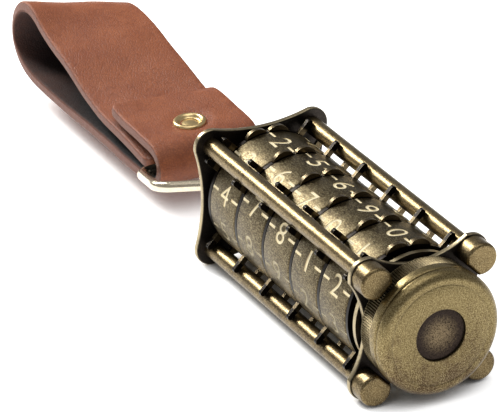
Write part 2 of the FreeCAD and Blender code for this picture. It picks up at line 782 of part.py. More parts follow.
def loop_ring():
    """A closed D of wire, swept along its own centre line: a bar, two arms, and a nose at the eye."""
    body = doc.addObject("PartDesign::Body", "LoopRing")
    path = sketch_on(body, "XY_Plane", "Path")
    half_depth = size["loop_depth"] / 2
    corner = (size["bend_radius"] - half_depth, size["bend_across"], size["bend_radius"])
    shoulder = (size["bow_ahead"] - half_depth, size["bow_across"], size["bow_radius"])
    nose = (half_depth - size["nose_radius"], size["nose_across"], size["nose_radius"])
    near_side = [(x, y * -1, radius) for x, y, radius in (corner, shoulder, nose)]
    bends = near_side + [nose, shoulder, corner]
    count = len(bends)
    normals = []
    for index in range(count):
        x, y, radius = (float(number) for number in bends[index])
        next_x, next_y, next_radius = (float(number) for number in bends[(index + 1) % count])
        heading = math.atan2(next_y - y, next_x - x)
        length = math.hypot(next_x - x, next_y - y)
        normals.append(heading - math.acos((radius - next_radius) / length))
    for index, (x, y, radius) in enumerate(bends):
        circle = Part.Circle(vector(x, y), FreeCAD.Vector(0, 0, 1), float(radius))
        swept = (normals[index] - normals[index - 1]) % (2 * math.pi)
        path.addGeometry(Part.ArcOfCircle(circle, normals[index - 1], normals[index - 1] + swept))
    for arc in range(count):
        first = path.getPoint(arc, 2)
        second = path.getPoint((arc + 1) % count, 1)
        path.addGeometry(Part.LineSegment(first, second))
    for arc in range(count):
        line = count + arc
        path.addConstraint(Sketcher.Constraint("Tangent", arc, 2, line, 1))
        path.addConstraint(Sketcher.Constraint("Tangent", line, 2, (arc + 1) % count, 1))
    for arc, (x, y, radius) in enumerate(bends):
        hold(path, "DistanceX", -1, 1, arc, 3, x)
        hold(path, "DistanceY", -1, 1, arc, 3, y)
        hold(path, "Radius", arc, radius)
    section = sketch_on(body, "XZ_Plane", "Section")
    section.addGeometry(
        Part.Circle(vector(half_depth * -1, 0), FreeCAD.Vector(0, 0, 1), float(size["wire_radius"]))
    )
    section.addConstraint(Sketcher.Constraint("PointOnObject", 0, 3, -1))
    hold(section, "DistanceX", -1, 1, 0, 3, half_depth * -1)
    hold(section, "Radius", 0, size["wire_radius"])
    pipe = body.newObject("PartDesign::AdditivePipe", "Wire")
    pipe.Profile = section
    pipe.Spine = (path, [])
    doc.recompute()
    middle_back = size["eye_back"] + half_depth * math.cos(tilt)
    middle_drop = half_depth * math.sin(tilt)
    turn = FreeCAD.Rotation(FreeCAD.Vector(0, 1, 0), -float(size["loop_tilt"]))
    place(body, -middle_back, above=-middle_drop, turn=turn)
    keep(body, "loop_ring")


def strap_line():
    """The strap's centre line in side view, with the bar at the origin and the strap along -X."""
    radius = float(size["fold_radius"])
    bend = float(size["bight_radius"])
    fold_back = float(size["fold_back"])
    fold_rise = float(size["fold_rise"])
    bight_back = float(size["bight_back"])
    bight_rise = float(size["bight_rise"])
    lap_height = float(lap_rise)
    lap_end = float(size["lap_end"])
    flap_rise = fold_rise + radius + float(size["flap_lift"])
    # The lower run is the tangent below both bends, and the upper run the tangent above the far one.
    run = math.hypot(bight_back - fold_back, bight_rise - fold_rise)
    low = math.atan2(bight_rise - fold_rise, bight_back - fold_back) - math.asin((bend - radius) / run)
    span = math.hypot(bight_back - lap_end, bight_rise - lap_height)
    high = math.atan2(bight_rise - lap_height, bight_back - lap_end) + math.asin(bend / span)

    def at(back, up):
        return FreeCAD.Vector(-back, 0, up)

    flap_end = at(float(size["flap_length"]), flap_rise)
    fold_top = at(fold_back, fold_rise + radius)
    fold_front = at(fold_back - radius, fold_rise)
    low_start = at(fold_back + radius * math.sin(low), fold_rise - radius * math.cos(low))
    low_end = at(bight_back + bend * math.sin(low), bight_rise - bend * math.cos(low))
    bight_tip = at(bight_back + bend, bight_rise)
    high_start = at(bight_back - bend * math.sin(high), bight_rise + bend * math.cos(high))
    high_end = at(lap_end, lap_height)
    lap_start = at(float(size["lap_start"]), lap_height)
    return [
        Part.LineSegment(flap_end, fold_top).toShape(),
        Part.Arc(fold_top, fold_front, low_start).toShape(),
        Part.LineSegment(low_start, low_end).toShape(),
        Part.Arc(low_end, bight_tip, high_start).toShape(),
        Part.LineSegment(high_start, high_end).toShape(),
        Part.LineSegment(high_end, lap_start).toShape(),
    ]


def strap():
    """A plain closed band of leather, wrapped round the loop's bar and lapped on itself."""
    line = strap_line()
    start = line[0].Vertexes[0].Point
    along = (line[0].Vertexes[1].Point - start).normalize()
    half_width = float(size["strap_width"]) / 2
    half_thick = float(size["strap_thick"]) / 2
    side = FreeCAD.Vector(0, half_width, 0)
    normal = along.cross(FreeCAD.Vector(0, 1, 0)) * half_thick
    corners = [start + side + normal, start - side + normal, start - side - normal, start + side - normal]
    section = Part.makePolygon(corners + corners[:1])
    band = Part.Wire(line).makePipeShell([section], True, False, 1)
    both_layers = float(size["strap_thick"] * 3)
    hole_at = FreeCAD.Vector(-float(size["rivet_back"]), 0, float(lap_rise - size["strap_thick"]))
    hole = Part.makeCylinder(float(size["rivet_post"] + size["running_gap"]), both_layers, hole_at)
    leather = doc.addObject("Part::Feature", "Strap")
    leather.Shape = band.cut(hole)
    place(leather, -bar_back, above=-bar_drop)
    keep(leather, "strap")


def rivet():
    """A double-cap rivet through the flap and the lap: a post with its foot, and a cap."""
    radius = size["rivet_radius"]
    dome = size["rivet_dome"]
    post = size["rivet_post"]
    thick = size["strap_thick"]
    foot_face = lap_rise - thick / 2
    cap_face_rise = size["fold_rise"] + size["fold_radius"] + thick / 2 + size["flap_lift"] / 2
    tip = dome + (cap_face_rise - foot_face) + size["rivet_tip"]
    station = -bar_back - size["rivet_back"]
    foot = turned(
        "RivetFoot",
        [
            (ZERO, ZERO),
            (ZERO, radius),
            (dome, radius),
            (dome, post),
            (tip, post),
            (tip, ZERO),
        ],
    )
    round_edges(foot, size["rivet_round"], circles((ZERO, radius)))
    place(foot, station, above=foot_face - dome - bar_drop, turn=BACKWARD)
    keep(foot, "rivet_foot")
    bore = post + size["fit_gap"]
    cap = turned(
        "RivetCap",
        [
            (ZERO, bore),
            (ZERO, radius),
            (dome, radius),
            (dome, ZERO),
            (size["rivet_bore"], ZERO),
            (size["rivet_bore"], bore),
        ],
    )
    round_edges(cap, size["rivet_round"], circles((dome, radius)))
    place(cap, station, above=cap_face_rise - bar_drop, turn=BACKWARD)
    keep(cap, "rivet_cap")


def check(items):
    """Stops on any object that failed, and on any sub-part that isn't one or more good solids."""
    for item in doc.Objects:
        if any(word in item.State for word in ("Invalid", "Error")):
            raise RuntimeError(f"{item.Label} failed: {item.State}")
    for item in items:
        shape = item.Shape
        if shape.isNull() or not shape.isValid() or not shape.Solids or shape.Volume <= 0:
            raise RuntimeError(f"{item.Label} has no valid solid")


end_plate("rear_plate", -size["plate_thick"], size["rear_waist"], size["stud_radius"] + 0.03, key=False)
end_plate("front_plate", size["plate_gap"], size["front_waist"], size["tube_radius"] + 0.02, key=True)
tie_rods()
post_screws()
rear_nuts()
spacer_plates()
bushes()
core_tube()
dial_rings()
vault()
lock_bar()
end_cap()
cap_inset()
hanger()
loop_ring()
strap()
rivet()
doc.recompute()
check(parts)

os.makedirs("parts", exist_ok=True)
for part in parts:
    part.Shape.exportStep(f"parts/{part.Label}.step")
    print(f"{part.Label:20s} {part.Shape.Volume:10.2f} mm3  solids {len(part.Shape.Solids)}")
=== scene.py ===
"""The looks of the cryptex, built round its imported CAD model.

Everything is in metres in the CAD's own frame: +X along the dial axis towards the end cap, +Z up.
A "station" is a distance in millimetres along +X from the front face of the rear plate, and a
"height" is a distance in millimetres above the dial axis.
"""

import math

import bmesh
import bpy
from mathutils import Matrix, Vector, noise


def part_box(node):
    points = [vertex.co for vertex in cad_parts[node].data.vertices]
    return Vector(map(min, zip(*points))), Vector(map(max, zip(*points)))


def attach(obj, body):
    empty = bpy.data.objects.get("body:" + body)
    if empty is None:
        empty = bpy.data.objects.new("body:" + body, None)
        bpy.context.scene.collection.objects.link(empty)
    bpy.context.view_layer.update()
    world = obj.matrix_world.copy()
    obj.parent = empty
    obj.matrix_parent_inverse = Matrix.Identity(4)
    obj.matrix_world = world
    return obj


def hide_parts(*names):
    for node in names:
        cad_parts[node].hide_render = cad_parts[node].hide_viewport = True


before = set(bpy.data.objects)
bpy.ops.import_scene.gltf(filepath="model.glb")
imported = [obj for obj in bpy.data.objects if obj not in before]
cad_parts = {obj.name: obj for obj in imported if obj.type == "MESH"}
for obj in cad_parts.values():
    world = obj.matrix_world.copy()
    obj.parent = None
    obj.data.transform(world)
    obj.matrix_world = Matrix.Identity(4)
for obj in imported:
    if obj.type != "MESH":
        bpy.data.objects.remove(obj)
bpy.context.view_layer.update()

MM = 0.001
RINGS = 5
SPACERS = 6
CORNERS = 4
DIGITS = 10
REAR_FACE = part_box("rear_plate")[1].x
AXIS_HEIGHT = (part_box("core_tube")[0].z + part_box("core_tube")[1].z) / 2


def place(station, across, height):
    """A point given in millimetres from the rear plate's front face and the dial axis."""
    return Vector((REAR_FACE + station * MM, across * MM, AXIS_HEIGHT + height * MM))


# ---------------------------------------------------------------- camera, floor and lights

AZIMUTH, ELEVATION, ROLL = (math.radians(angle) for angle in (62.992, 25.821, -0.338))
DISTANCE = 0.9197
AIM_RIGHT, AIM_UP = 0.002631, 0.004179
LENS = 309.1
SENSOR = 36.0


def add_camera():
    """A long lens, looking down at the end cap from the near front corner."""
    back = Vector(
        (
            math.sin(AZIMUTH) * math.cos(ELEVATION),
            -math.cos(AZIMUTH) * math.cos(ELEVATION),
            math.sin(ELEVATION),
        )
    )
    level = Vector((math.cos(AZIMUTH), math.sin(AZIMUTH), 0))
    upright = back.cross(level)
    right = level * math.cos(ROLL) + upright * math.sin(ROLL)
    up = upright * math.cos(ROLL) - level * math.sin(ROLL)
    data = bpy.data.cameras.new("camera")
    data.lens = LENS
    data.sensor_width = SENSOR
    data.clip_start = 0.05
    data.clip_end = 20
    camera = bpy.data.objects.new("camera", data)
    bpy.context.scene.collection.objects.link(camera)
    camera.matrix_world = Matrix((right, up, back)).transposed().to_4x4()
    camera.location = place(0, 0, 0) + back * DISTANCE - right * AIM_RIGHT - up * AIM_UP
    bpy.context.scene.camera = camera


def add_softbox(name, towards, distance, size, power, colour):
    """An area light on a line from the middle of the dials, facing them."""
    data = bpy.data.lights.new(name, "AREA")
    data.shape = "RECTANGLE"
    data.size, data.size_y = size
    data.energy = power
    data.color = colour
    lamp = bpy.data.objects.new(name, data)
    bpy.context.scene.collection.objects.link(lamp)
    middle = place(40, 0, 0)
    direction = Vector(towards).normalized()
    lamp.location = middle + direction * distance
    lamp.rotation_mode = "QUATERNION"
    lamp.rotation_quaternion = direction.to_track_quat("Z", "Y")


def add_world(colour, strength):
    world = bpy.data.worlds.new("studio")
    bpy.context.scene.world = world
    world.use_nodes = True
    background = world.node_tree.nodes["Background"]
    background.inputs["Color"].default_value = (*colour, 1)
    background.inputs["Strength"].default_value = strength


# ---------------------------------------------------------------- materials


class Graph:
    """One material's node tree. Every call adds a node and returns its first output."""

    def __init__(self, name):
        self.material = bpy.data.materials.new(name)
        self.material.use_nodes = True
        self.tree = self.material.node_tree
        self.tree.nodes.clear()
        self.out = self.tree.nodes.new("ShaderNodeOutputMaterial")

    def add(self, kind, values=(), **settings):
        """values are (socket name or index, number, colour or other socket) pairs."""
        made = self.tree.nodes.new("ShaderNode" + kind)
        for key, value in settings.items():
            setattr(made, key, value)
        for key, value in values:
            if isinstance(value, bpy.types.NodeSocket):
                self.tree.links.new(value, made.inputs[key])
            elif isinstance(value, tuple) and len(value) == 3:
                slot = made.inputs[key]
                slot.default_value = (*value, 1) if slot.type == "RGBA" else value
            else:
                made.inputs[key].default_value = value
        return made

    def millimetres(self):
        """The object's own coordinates, in millimetres."""
        place_in = self.add("TexCoord").outputs["Object"]
        scaled = self.add("VectorMath", [(0, place_in), ("Scale", 1 / MM)], operation="SCALE")
        return scaled.outputs[0]

    def stretched(self, vector, factors):
        scaled = self.add("VectorMath", [(0, vector), (1, factors)], operation="MULTIPLY")
        return scaled.outputs[0]

    def from_axis(self, vector):
        """How far a point given in millimetres is from the dial axis."""
        middle = (0.0, 0.0, AXIS_HEIGHT / MM)
        moved = self.add("VectorMath", [(0, vector), (1, middle)], operation="SUBTRACT").outputs[0]
        outwards = self.stretched(moved, (0, 1, 1))
        return self.add("VectorMath", [(0, outwards)], operation="LENGTH").outputs["Value"]

    def noise(self, vector, per_mm, detail=3.0, rough=0.55):
        values = [("Vector", vector), ("Scale", per_mm), ("Detail", detail), ("Roughness", rough)]
        return self.add("TexNoise", values).outputs["Fac"]

    def math(self, operation, a, b=0.0, c=0.0):
        made = self.add("Math", [(0, a), (1, b), (2, c)], operation=operation)
        return made.outputs[0]

    def ramp(self, amount, low, high, start=0.0, end=1.0):
        """amount from low..high to start..end, held at both ends."""
        values = [("Value", amount), ("From Min", low), ("From Max", high)]
        values += [("To Min", start), ("To Max", end)]
        return self.add("MapRange", values, clamp=True).outputs["Result"]

    def blend(self, share, a, b):
        """Colour a where share is 0, colour b where it is 1."""
        made = self.add("Mix", [(0, share), (6, a), (7, b)], data_type="RGBA")
        return made.outputs[2]

    def edge_wear(self, radius_mm, low, high):
        """1 on sharp outer edges, where a rounded normal leaves the true one."""
        bevel = self.add("Bevel", [("Radius", radius_mm * MM)], samples=6)
        true_normal = self.add("NewGeometry").outputs["Normal"]
        dot = self.add("VectorMath", [(0, bevel.outputs[0]), (1, true_normal)], operation="DOT_PRODUCT")
        away = self.math("SUBTRACT", 1.0, dot.outputs["Value"])
        return self.ramp(away, low, high)

    def bump(self, height, distance_mm, strength=1.0, normal=None):
        values = [("Height", height), ("Distance", distance_mm * MM), ("Strength", strength)]
        if normal is not None:
            values.append(("Normal", normal))
        return self.add("Bump", values).outputs[0]

    def finish(self, values):
        shader = self.add("BsdfPrincipled", values)
        self.tree.links.new(shader.outputs[0], self.out.inputs["Surface"])
        return self.material


def aged_metal(
    name,
    light,
    middle,
    dark,
    rough,
    grain=1.0,
    stretch=(1, 1, 1),
    wear=0.6,
    wear_mm=0.22,
    recess=1.0,
    painted_light_by_height=0.0,
):
    """Antique metal: cloudy patina, fine speckle, bright worn edges, recesses darkened by ambient occlusion
    (dark patina in the hollows and painted shade where parts come close), and optionally painted light and
    shade by height.
    """
    graph = Graph(name)
    at = graph.millimetres()
    clouds = graph.noise(at, 0.28, 4.0, 0.65)
    speckle = graph.noise(graph.stretched(at, stretch), 1.9, 4.0, 0.75)
    fine = graph.noise(graph.stretched(at, stretch), 4.2, 2.0, 0.6)
    total = graph.math("ADD", clouds, graph.math("MULTIPLY", speckle, 0.8 * grain))
    # Painted light and shade by height: the tone gets lighter higher up and darker lower down.
    if painted_light_by_height:
        height = graph.add("SeparateXYZ", [("Vector", at)]).outputs["Z"]
        height_light_tone = graph.ramp(height, 2.0, 30.0, -painted_light_by_height, painted_light_by_height)
        total = graph.math("ADD", total, height_light_tone)
    tone = graph.ramp(total, 0.72, 1.08)
    colour = graph.blend(tone, dark, middle)
    shine = graph.ramp(fine, 0.5, 0.66)
    colour = graph.blend(graph.math("MULTIPLY", shine, 0.4 * grain), colour, light)
    pits = graph.ramp(fine, 0.47, 0.36)
    colour = graph.blend(graph.math("MULTIPLY", pits, 0.5 * grain), colour, tuple(0.6 * c for c in dark))
    # Ambient occlusion darkening: dark patina in the hollows, and painted shade where other parts come close.
    occlusion = graph.add("AmbientOcclusion", [("Distance", 1.6 * MM)], samples=6).outputs["AO"]
    shade = graph.math("MULTIPLY", graph.ramp(occlusion, 0.85, 0.25), recess)
    colour = graph.blend(shade, colour, tuple(channel * 0.3 for channel in dark))
    worn = graph.math("MULTIPLY", graph.edge_wear(wear_mm, 0.02, 0.22), wear)
    colour = graph.blend(worn, colour, light)
    roughness = graph.ramp(speckle, 0.3, 0.75, rough - 0.07, rough + 0.09)
    normal = graph.bump(fine, 0.014 * grain, 0.7)
    normal = graph.bump(speckle, 0.03 * grain, 0.5, normal)
    return graph.finish(
        [("Base Color", colour), ("Metallic", 1.0), ("Roughness", roughness), ("Normal", normal)]
    )


def dished_metal(name, centre, rim, rough):
    """The dark disc in the cap: a lighter middle that fades to a nearly black rim, the rim's darkness being
    painted shade from the dish's wall.
    """
    graph = Graph(name)
    at = graph.millimetres()
    radius = graph.from_axis(at)
    speckle = graph.noise(at, 2.0, 4.0, 0.75)
    fine = graph.noise(at, 4.2, 2.0, 0.6)
    wobble = graph.math("MULTIPLY", graph.math("SUBTRACT", speckle, 0.5), 5.0)
    # Painted shade: darker towards the rim, where the dish's wall shades it.
    share = graph.ramp(graph.math("ADD", radius, wobble), 0.9, 4.4)
    colour = graph.blend(share, centre, rim)
    colour = graph.blend(graph.ramp(fine, 0.5, 0.36), colour, tuple(0.4 * c for c in rim))
    normal = graph.bump(speckle, 0.04, 0.7)
    return graph.finish([("Base Color", colour), ("Metallic", 1.0), ("Roughness", rough), ("Normal", normal)])


def blackened_plate(name, face, rim, rough):
    """A blackened plate whose outline is rubbed back to bright metal."""
    graph = Graph(name)
    at = graph.millimetres()
    clouds = graph.noise(at, 0.5, 4.0, 0.6)
    speckle = graph.noise(at, 4.0, 3.0, 0.7)
    true_normal = graph.add("NewGeometry").outputs["Normal"]
    along = graph.add("SeparateXYZ", [("Vector", true_normal)]).outputs["X"]
    sideways = graph.ramp(graph.math("ABSOLUTE", along), 0.95, 0.55)
    worn = graph.edge_wear(0.16, 0.02, 0.14)
    share = graph.math("MAXIMUM", sideways, graph.math("MULTIPLY", worn, 0.8))
    rubbed = graph.ramp(graph.math("ADD", clouds, speckle), 0.75, 1.05, 0.55, 1.0)
    share = graph.math("MULTIPLY", share, rubbed)
    mottle = graph.blend(graph.ramp(speckle, 0.35, 0.75), face, tuple(2.4 * c for c in face))
    colour = graph.blend(share, mottle, rim)
    roughness = graph.ramp(share, 0.0, 1.0, rough + 0.1, rough)
    normal = graph.bump(speckle, 0.02, 0.6)
    return graph.finish(
        [("Base Color", colour), ("Metallic", 1.0), ("Roughness", roughness), ("Normal", normal)]
    )


def spacer_look(name, light, hump, dark, rough):
    """Brass index humps, a black rim between the dials as painted shade in the gap, and dark forks at the
    rods, partly blackened and partly painted shade.
    """
    graph = Graph(name)
    at = graph.millimetres()
    speckle = graph.noise(at, 4.0, 3.0, 0.7)
    radius = graph.from_axis(at)
    # Painted shade: black inside the dials' radius, where the spacer sits in the gap between two dials.
    gap_shade = graph.ramp(radius, 14.15, 14.0)
    # Dark forks at the rods: partly a blackened finish, partly painted shade where they hug the rods.
    fork_black_and_shade = graph.ramp(radius, 15.4, 15.7)
    brass = graph.blend(graph.ramp(speckle, 0.4, 0.7), tuple(0.5 * c for c in hump), hump)
    colour = graph.blend(graph.math("MAXIMUM", gap_shade, fork_black_and_shade), brass, dark)
    worn = graph.math("MULTIPLY", graph.edge_wear(0.12, 0.02, 0.2), graph.math("SUBTRACT", 1.0, gap_shade))
    worn = graph.math("MULTIPLY", worn, graph.ramp(fork_black_and_shade, 0.0, 1.0, 0.9, 0.35))
    colour = graph.blend(worn, colour, light)
    normal = graph.bump(speckle, 0.02, 0.6)
    return graph.finish([("Base Color", colour), ("Metallic", 1.0), ("Roughness", rough), ("Normal", normal)])


def polished_metal(name, base, dim, rough):
    """Polished plating with faint rub marks."""
    graph = Graph(name)
    at = graph.millimetres()
    marks = graph.noise(graph.stretched(at, (1, 0.25, 1)), 2.5, 4.0, 0.7)
    colour = graph.blend(graph.ramp(marks, 0.45, 0.8), base, dim)
    roughness = graph.ramp(marks, 0.3, 0.8, rough, rough + 0.12)
    normal = graph.bump(marks, 0.01, 0.4)
    return graph.finish(
        [("Base Color", colour), ("Metallic", 1.0), ("Roughness", roughness), ("Normal", normal)]
    )


def digit_paint(name, base, low_side_shade):
    """Pale gold paint wiped into the engraving, darkened on the lower side of each dial as painted shade."""
    graph = Graph(name)
    at = graph.millimetres()
    specks = graph.noise(at, 6.0, 3.0, 0.7)
    colour = graph.blend(graph.ramp(specks, 0.45, 0.8), base, tuple(0.7 * c for c in base))
    height = graph.add("SeparateXYZ", [("Vector", at)]).outputs["Z"]
    # Painted shade: the paint darkens towards the lower side of each dial.
    colour = graph.blend(graph.ramp(height, 18.0, 14.5, 0.0, 0.75), colour, low_side_shade)
    return graph.finish([("Base Color", colour), ("Roughness", 0.6)])


def floor_white(name):
    """A plain pale floor whose painted glow makes it a little brighter than the lamps alone would in the
    open; the glow fades beneath the object, painting a shadow there.
    """
    graph = Graph(name)
    occlusion = graph.add("AmbientOcclusion", [("Distance", 40 * MM)], samples=8).outputs["AO"]
    # Painted shadow: the glow fades out beneath the object, where the floor is hemmed in.
    glow = graph.ramp(occlusion, 0.2, 0.55, 0.0, 0.75)
    values = [("Base Color", (0.9, 0.9, 0.9)), ("Roughness", 0.9)]
    values += [("Emission Color", (1.0, 1.0, 1.0)), ("Emission Strength", glow)]
    return graph.finish(values)


def leather(name, base, dark, edge, rough, shaded=0.0):
    """Grained leather: blotches, fine creases between the grains, paler cut edges, and optionally painted
    shade where the band is hemmed in.
    """
    graph = Graph(name)
    at = graph.millimetres()
    blotches = graph.noise(at, 0.11, 4.0, 0.6)
    mottle = graph.noise(at, 0.9, 4.0, 0.65)
    cells = graph.add(
        "TexVoronoi", [("Vector", at), ("Scale", 1.5), ("Randomness", 1.0)], feature="DISTANCE_TO_EDGE"
    ).outputs["Distance"]
    creases = graph.ramp(cells, 0.0, 0.16)
    pores = graph.noise(at, 6.0, 3.0, 0.7)
    tone = graph.ramp(graph.math("ADD", blotches, graph.math("MULTIPLY", mottle, 0.9)), 0.7, 1.2)
    colour = graph.blend(tone, dark, base)
    lines = graph.math("MULTIPLY", graph.math("SUBTRACT", 1.0, creases), 0.4)
    colour = graph.blend(lines, colour, tuple(0.5 * c for c in dark))
    true_normal = graph.add("NewGeometry").outputs["True Normal"]
    across = graph.add("SeparateXYZ", [("Vector", true_normal)]).outputs["Y"]
    side = graph.ramp(graph.math("ABSOLUTE", across), 0.6, 0.95)
    fibres = graph.noise(graph.stretched(at, (0.7, 0.7, 3.5)), 1.6, 4.0, 0.7)
    edge_colour = graph.blend(graph.ramp(fibres, 0.3, 0.7), tuple(0.55 * c for c in edge), edge)
    colour = graph.blend(graph.math("MULTIPLY", side, 0.85), colour, edge_colour)
    if shaded:
        # Painted shade: ambient occlusion darkens the leather to near black inside bends and between runs.
        occlusion = graph.add("AmbientOcclusion", [("Distance", 14 * MM)], samples=8).outputs["AO"]
        hemmed_shade = graph.math("MULTIPLY", graph.ramp(occlusion, 0.9, 0.5), shaded)
        colour = graph.blend(hemmed_shade, colour, (0.004, 0.003, 0.004))
    roughness = graph.ramp(mottle, 0.3, 0.8, rough - 0.06, rough + 0.12)
    normal = graph.bump(pores, 0.03, 0.6)
    normal = graph.bump(creases, 0.06, 0.7, normal)
    normal = graph.bump(mottle, 0.12, 0.6, normal)
    values = [("Base Color", colour), ("Roughness", roughness), ("Normal", normal)]
    return graph.finish(values + [("Specular IOR Level", 0.35)])


def paint(node_names, material):
    """Puts one material on CAD nodes, whose shapes stay."""
    for node_name in node_names:
        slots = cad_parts[node_name].data.materials
        if len(slots) == 0:
            slots.append(material)
        for index in range(len(slots)):
            slots[index] = material


def numbered(stem, count):
    return [f"{stem}_{number}" for number in range(1, count + 1)]


# ---------------------------------------------------------------- meshes


def make_object(name, mesh, materials, sharp_degrees=32.0):
    for index, material in enumerate(materials):
        if index < len(mesh.materials):
            mesh.materials[index] = material
        else:
            mesh.materials.append(material)
    mesh.shade_smooth()
    mesh.set_sharp_from_angle(angle=math.radians(sharp_degrees))
    made = bpy.data.objects.new(name, mesh)
    bpy.context.scene.collection.objects.link(made)
    return made


def rounded_profile(corners, steps=5):
    """A polyline through (along, radius, rounding) corners, each rounding an arc of that radius."""
    points = []
    for index, (along, radius, rounding) in enumerate(corners):
        here = Vector((along, radius))
        if rounding == 0 or index in (0, len(corners) - 1):
            points.append(here)
            continue
        before = (Vector(corners[index - 1][:2]) - here).normalized()
        after = (Vector(corners[index + 1][:2]) - here).normalized()
        half = before.angle(after) / 2
        reach = rounding / math.tan(half)
        middle = here + (before + after).normalized() * (rounding / math.sin(half))
        start, end = here + before * reach - middle, here + after * reach - middle
        turn = start.angle_signed(end)
        for step in range(steps + 1):
            arm = start.copy()
            arm.rotate(Matrix.Rotation(-turn * step / steps, 2))
            points.append(middle + arm)
    return points


def lathe_mesh(name, profile, segments, to_world, closed=False, waves=None):
    """Turns a profile of (along, radius) points round the local X axis.

    to_world takes a local point in millimetres. waves changes a radius: (along, radius, angle).
    """
    shape = bmesh.new()
    rows = []
    for along, radius in profile:
        if radius < 1e-6:
            rows.append([shape.verts.new(to_world(along, 0.0, 0.0))])
            continue
        row = []
        for segment in range(segments):
            angle = 2 * math.pi * segment / segments
            reach = radius if waves is None else waves(along, radius, angle)
            row.append(shape.verts.new(to_world(along, reach * math.sin(angle), reach * math.cos(angle))))
        rows.append(row)
    pairs = list(zip(rows, rows[1:]))
    if closed:
        pairs.append((rows[-1], rows[0]))
    for low, high in pairs:
        for segment in range(segments):
            after = (segment + 1) % segments
            if len(low) == 1 and len(high) == 1:
                continue
            if len(low) == 1:
                shape.faces.new((low[0], high[segment], high[after]))
            elif len(high) == 1:
                shape.faces.new((low[segment], high[0], low[after]))
            else:
                shape.faces.new((low[segment], high[segment], high[after], low[after]))
    bmesh.ops.recalc_face_normals(shape, faces=shape.faces)
    mesh = bpy.data.meshes.new(name)
    shape.to_mesh(mesh)
    shape.free()
    return mesh


# ---------------------------------------------------------------- dial rings

RING_RADIUS, RING_WIDTH, RING_ROUND = 14.0, 11.2, 0.4
RING_BORE, RECESS_RADIUS, RECESS_WIDTH = 8.05, 12.4, 6.4
GATE_WIDTH, GATE_DEPTH = 3.4, 10.2
FIRST_RING, RING_PITCH = 2.9, 12.3
RING_SEGMENTS = 360
DIGIT_HIGH, DIGIT_WIDE, DIGIT_STEP = 4.65, 3.2, 0.35
DASH_LONG, DASH_WIDE, DASH_PAST = 2.65, 0.55, 0.5
ENGRAVED, CUTTER_TOP = 0.12, 0.6
TOP_DIGITS = ((2, 1.0), (5, 10.0), (6, 8.0), (9, 4.0), (0, 4.0))


def wrap_prism(flat, middle_angle):
    """A flat outline wrapped round a dial as a closed cutter, into a new bmesh.

    flat holds points across the axis and round it; middle_angle is measured from +Z towards +Y.
    """
    shape = bmesh.new()
    levels = []
    for radius in (RING_RADIUS - ENGRAVED, RING_RADIUS + CUTTER_TOP):
        row = []
        for point in flat.verts:
            angle = middle_angle + point.co.y / RING_RADIUS
            spot = (point.co.x, radius * math.sin(angle), radius * math.cos(angle))
            row.append(shape.verts.new(spot))
        levels.append(row)
    low, high = levels
    for face in flat.faces:
        order = [point.index for point in face.verts]
        shape.faces.new([low[index] for index in order])
        shape.faces.new([high[index] for index in reversed(order)])
    for edge in flat.edges:
        if len(edge.link_faces) == 1:
            a, b = (point.index for point in edge.verts)
            shape.faces.new((low[a], low[b], high[b], high[a]))
    bmesh.ops.recalc_face_normals(shape, faces=shape.faces)
    return shape


def flat_digit(digit):
    """A digit's outline in millimetres, centred, with rows of edges close enough to bend."""
    text = bpy.data.curves.new(f"digit_{digit}", "FONT")
    text.body = str(digit)
    text.resolution_u = 5
    carrier = bpy.data.objects.new(f"digit_{digit}", text)
    bpy.context.scene.collection.objects.link(carrier)
    bpy.context.view_layer.update()
    mesh = bpy.data.meshes.new_from_object(carrier)
    bpy.data.objects.remove(carrier)
    bpy.data.curves.remove(text)
    shape = bmesh.new()
    shape.from_mesh(mesh)
    bpy.data.meshes.remove(mesh)
    bmesh.ops.remove_doubles(shape, verts=shape.verts, dist=1e-5)
    across = [point.co.x for point in shape.verts]
    along = [point.co.y for point in shape.verts]
    wide, high = max(across) - min(across), max(along) - min(along)
    scale_high = DIGIT_HIGH / high
    scale_wide = min(DIGIT_WIDE / wide, scale_high * 1.15)
    for point in shape.verts:
        point.co.x = (point.co.x - (max(across) + min(across)) / 2) * scale_wide
        point.co.y = (point.co.y - (max(along) + min(along)) / 2) * scale_high
    steps = int(DIGIT_HIGH / DIGIT_STEP)
    for step in range(1, steps):
        height = -DIGIT_HIGH / 2 + step * DIGIT_HIGH / steps
        parts = shape.verts[:] + shape.edges[:] + shape.faces[:]
        bmesh.ops.bisect_plane(shape, geom=parts, plane_co=(0, height, 0), plane_no=(0, 1, 0))
    shape.verts.index_update()
    return shape


def flat_box(left, right, half_high):
    shape = bmesh.new()
    corners = ((left, -half_high), (right, -half_high), (right, half_high), (left, half_high))
    shape.faces.new([shape.verts.new((x, y, 0)) for x, y in corners])
    shape.verts.index_update()
    return shape


def join_into(target, part):
    """Adds one bmesh to another and frees it."""
    part.verts.index_update()
    added = [target.verts.new(point.co) for point in part.verts]
    for face in part.faces:
        target.faces.new([added[point.index] for point in face.verts])
    part.free()


def dial_cutter(top_digit, top_angle):
    """Every digit and dash of one dial, as one cutter whose faces take the paint."""
    cutter = bmesh.new()
    ring_edge = RING_WIDTH / 2
    for place_round in range(DIGITS):
        digit = (top_digit + place_round) % DIGITS
        angle = math.radians(top_angle - 36.0 * place_round)
        flat = flat_digit(digit)
        join_into(cutter, wrap_prism(flat, angle))
        flat.free()
        dashes = (
            (-ring_edge - DASH_PAST, DASH_LONG - ring_edge),
            (ring_edge - DASH_LONG, ring_edge + DASH_PAST),
        )
        for left, right in dashes:
            flat = flat_box(left, right, DASH_WIDE / 2)
            join_into(cutter, wrap_prism(flat, angle))
            flat.free()
    return cutter


